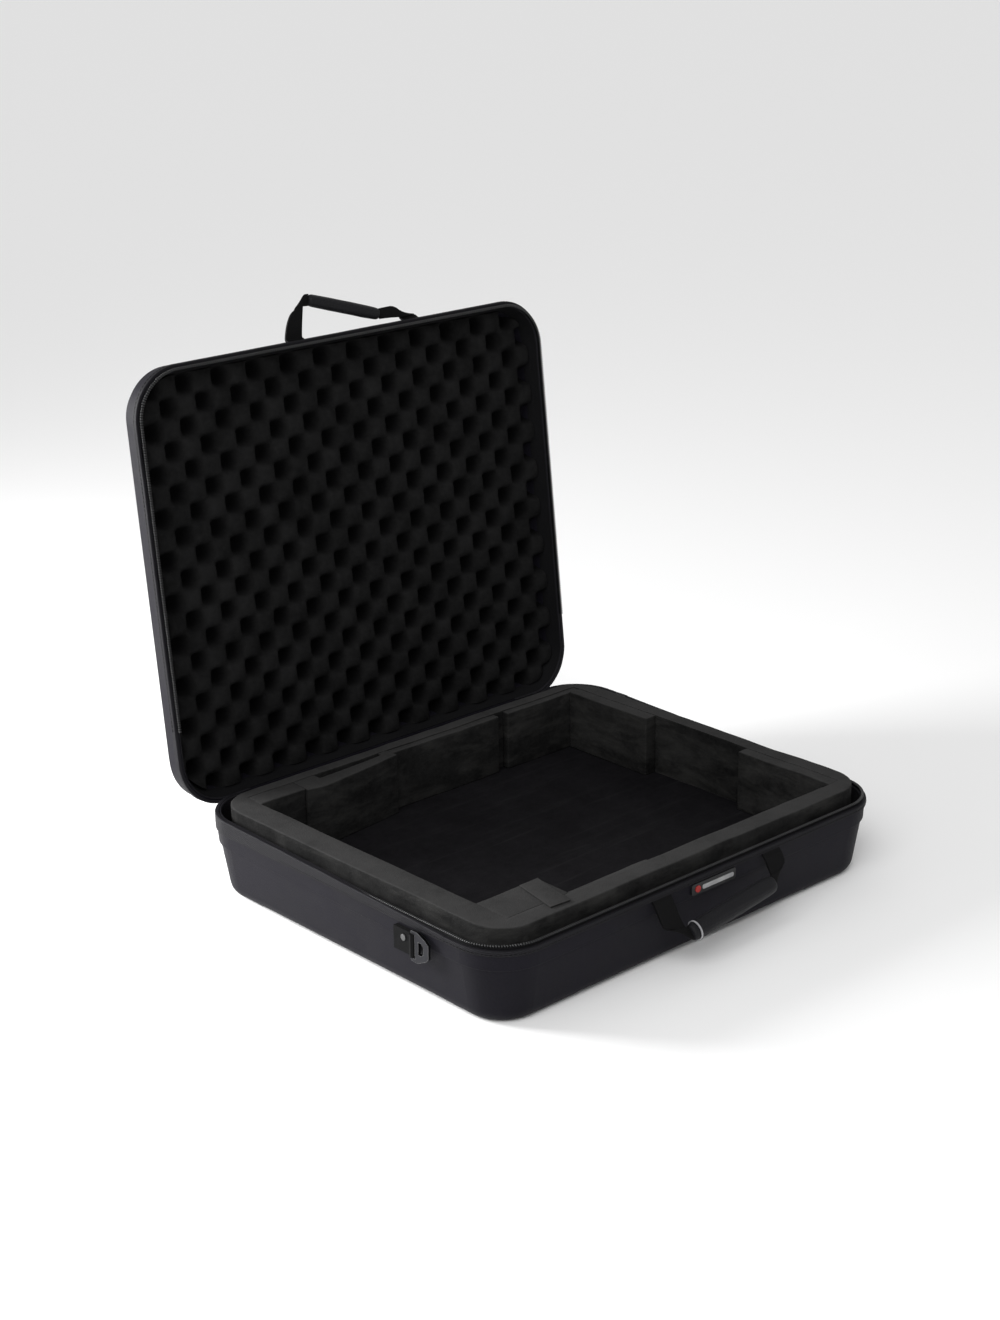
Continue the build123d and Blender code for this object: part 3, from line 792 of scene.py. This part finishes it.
def makeGrip(name, body, g, frameTurn, node):
    # a padded sleeve along X: closed ends, a sewn ridge below, slight creases
    bpy.ops.mesh.primitive_cylinder_add(vertices=40, radius=1, depth=2 * g["half"],
                                        rotation=(0, math.pi / 2, 0), end_fill_type="NGON")
    grip = bpy.context.object
    settle(grip)
    onlySelect(grip)
    bpy.ops.object.mode_set(mode="EDIT")
    for i in range(1, handles["rings"]):
        bpy.ops.mesh.select_all(action="SELECT")
        cut = -g["half"] + 2 * g["half"] * i / handles["rings"]
        bpy.ops.mesh.bisect(plane_co=(cut, 0, 0), plane_no=(1, 0, 0))
    bpy.ops.object.mode_set(mode="OBJECT")
    for v in grip.data.vertices:
        t = abs(v.co.x) / g["half"]
        swell = 1 - 0.10 * t ** 6 - 0.10 * max(0.0, t - 0.93) / 0.07
        angle = math.atan2(v.co.y, v.co.z)
        ridge = 0.07 * math.exp(-((abs(angle) - math.pi) / 0.16) ** 2)
        crease = 0.03 * noise.noise(Vector((v.co.x * 55, angle * 1.2, 4.0)))
        reach = (swell + ridge + crease) * 0.985
        v.co.y *= g["b"] * reach
        v.co.z *= g["a"] * reach
    onlySelect(grip)
    bpy.ops.object.mode_set(mode="EDIT")
    bpy.ops.mesh.select_all(action="DESELECT")
    bpy.ops.mesh.edges_select_sharp(sharpness=math.radians(60))
    bpy.ops.mesh.bevel(offset=0.0018, segments=3)
    bpy.ops.object.mode_set(mode="OBJECT")
    place = frameTurn @ Matrix.Translation(g["place"]) @ Matrix.Rotation(math.radians(g["lean"]), 4, "Y")
    finishPiece(grip, name, body, looks["grip_skin"], 60, place)
    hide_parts(node)
    return grip


hangPlace = Matrix.Translation((handles["x"], handles["y"], handles["baseZ"]))
standPlace = Matrix.Translation((handles["x"], handles["y"], handles["lidZ"]))
hangTurn = hangPlace @ Matrix.Rotation(math.radians(handles["tilt"]), 4, "X")
standTurn = lidTurn @ standPlace @ Matrix.Rotation(-math.pi / 2, 4, "X")
makeGrip("baseGripSleeve", "base_handle", handles["baseGrip"], hangTurn, "base_handle_grip")
makeGrip("lidGripSleeve", "lid_handle", handles["lidGrip"], standTurn, "lid_handle_grip")


def smoothRun(points, steps):
    # even stations on a soft line through the given ones
    rows = []
    ring = [points[0]] + list(points) + [points[-1]]
    for i in range(1, len(ring) - 2):
        for k in range(steps):
            t = k / steps
            p0, p1, p2, p3 = (Vector(q) for q in ring[i - 1:i + 3])
            row = 2 * p1 + (p2 - p0) * t + (2 * p0 - 5 * p1 + 4 * p2 - p3) * t * t
            rows.append(0.5 * (row + (3 * p1 - p0 - 3 * p2 + p3) * t ** 3))
    return rows + [Vector(points[-1])]


def makeStrap(name, turn, stations, replaced):
    # one strip of webbing: a station is its middle, its half width and the way its width runs
    middles = smoothRun([s[0] for s in stations], handles["steps"])
    sides = smoothRun([Vector(s[2]).normalized() * s[1] for s in stations], handles["steps"])
    cells = handles["cells"]
    points, faces = [], []
    for middle, side in zip(middles, sides):
        for j in range(cells + 1):
            points.append(middle + side * (2 * j / cells - 1))
    for i in range(len(middles) - 1):
        for j in range(cells):
            k = i * (cells + 1) + j
            faces.append((k, k + 1, k + cells + 2, k + cells + 1))
    strap = meshPiece(name, points, faces)
    thick = strap.modifiers.new("cloth", "SOLIDIFY")
    thick.thickness = handles["strapThick"]
    thick.offset = 0
    edge = strap.modifiers.new("edge", "BEVEL")
    edge.width = 0.0005
    edge.segments = 2
    onlySelect(strap)
    for key in ("cloth", "edge"):
        bpy.ops.object.modifier_apply(modifier=key)
    fixNormals(strap)
    finishPiece(strap, name, None, looks["webbing"], 40, turn)
    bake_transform(strap)
    if replaced:
        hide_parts(*replaced)
    return strap


wide = (1, 0, 0)


def baseSpot(x, y, z):
    # a spot on the case's front as the handle's own frame sees it
    return hangTurn.inverted() @ Vector((handles["x"] + x, y, z))


def lidSpot(x, y, z):
    return standTurn.inverted() @ (lidTurn @ Vector((handles["x"] + x, y, z)))


strapX = handles["strapX"]
for side, endZ, key in ((-1, -0.037, "Left"), (1, -0.025, "Right")):
    x = side * strapX
    makeStrap("baseHandleStrap" + key, hangTurn, [
        (baseSpot(x, -0.2338, 0.0775), 0.0125, wide), (baseSpot(x, -0.2352, 0.0745), 0.0125, wide),
        ((x, 0, 0), 0.0125, wide), ((x, 0.0012, endZ + 0.016), 0.0122, wide),
        ((x - side * 0.003, 0.0008, endZ + 0.007), 0.0112, (1, 0, side * 0.45)),
        ((x - side * 0.010, 0.0, endZ + 0.001), 0.0088, (1, 0, side * 1.4)),
        ((x - side * 0.0175, 0.0, endZ), 0.0076, (0.25, 0, side * 1.0))],
        ("base_handle_straps", "base_handle_anchors") if side < 0 else ())
makeStrap("lidHandleStrapTall", standTurn, [
    (lidSpot(-strapX, -0.2338, 0.0985), 0.0110, wide), (lidSpot(-strapX, -0.2352, 0.1015), 0.0110, wide),
    ((-strapX, 0, 0), 0.0110, wide), ((-0.0775, 0.0005, -0.014), 0.0100, wide),
    ((-0.0725, 0.0005, -0.028), 0.0088, (1, 0, -0.35)), ((-0.0655, 0, -0.0365), 0.0074, (1, 0, -1.2)),
    ((-0.0560, 0, -0.0370), 0.0064, (0.2, 0, -1))], ("lid_handle_straps", "lid_handle_anchors"))
makeStrap("lidHandleStrapFolded", standTurn, [
    (lidSpot(strapX, -0.2338, 0.0985), 0.0110, wide), (lidSpot(strapX, -0.2352, 0.1015), 0.0110, wide),
    ((0.079, 0, 0.0), 0.0110, wide), ((0.076, 0.0014, -0.0035), 0.0104, (1, 0, 0.25)),
    ((0.064, 0.0024, -0.0075), 0.0084, (1, 0, 1.2)), ((0.050, 0.0012, -0.0085), 0.0066, (0.4, 0, 1)),
    ((0.038, 0, -0.0085), 0.0058, (0.25, 0, 1))], ())
print("handles made")


# floor and lights
studio = {"floorSize": 30, "paper": (0.94, 0.94, 0.94, 1.0), "world": 0.5,
          "ceiling": {"place": (-3.0, -1.6, 3.4), "power": 1.4, "spread": 45},
          "leftLight": {"place": (-1.05, 1.15, 0.66), "target": (-0.28, 0.2, 0.15), "size": 0.6, "power": 42},
          "frontLight": {"place": (-1.0, -1.2, 1.3), "target": (-0.15, -0.2, 0.1), "size": 0.6, "power": 5}}
bpy.ops.mesh.primitive_plane_add(size=studio["floorSize"], location=(0, 0, 0))
floor = bpy.context.object
floor.name = "studioFloor"
paper, _, paperShader, _ = newMaterial("studioPaper", 0.8)
paperShader.inputs["Base Color"].default_value = studio["paper"]
floor.data.materials.append(paper)

world = bpy.data.worlds.new("studioWorld")
bpy.context.scene.world = world
world.use_nodes = True
sky = world.node_tree.nodes["Background"]
sky.inputs["Color"].default_value = (1.0, 1.0, 1.0, 1.0)
sky.inputs["Strength"].default_value = studio["world"]


def aimed(light, place, target):
    light.rotation_euler = (Vector(target) - Vector(place)).to_track_quat("-Z", "Y").to_euler()


def softLight(name, place, target, size, power):
    bpy.ops.object.light_add(type="AREA", location=place)
    light = bpy.context.object
    light.name = name
    light.data.size = size
    light.data.energy = power
    aimed(light, place, target)
    return light


bpy.ops.object.light_add(type="SUN", location=studio["ceiling"]["place"])
ceiling = bpy.context.object
ceiling.name = "ceilingLight"
ceiling.data.energy = studio["ceiling"]["power"]
ceiling.data.angle = math.radians(studio["ceiling"]["spread"])
aimed(ceiling, studio["ceiling"]["place"], (0, 0, 0))
for key in ("leftLight", "frontLight"):
    softLight(key, **studio[key])
bpy.context.scene.view_settings.view_transform = "Standard"
print("stage set")
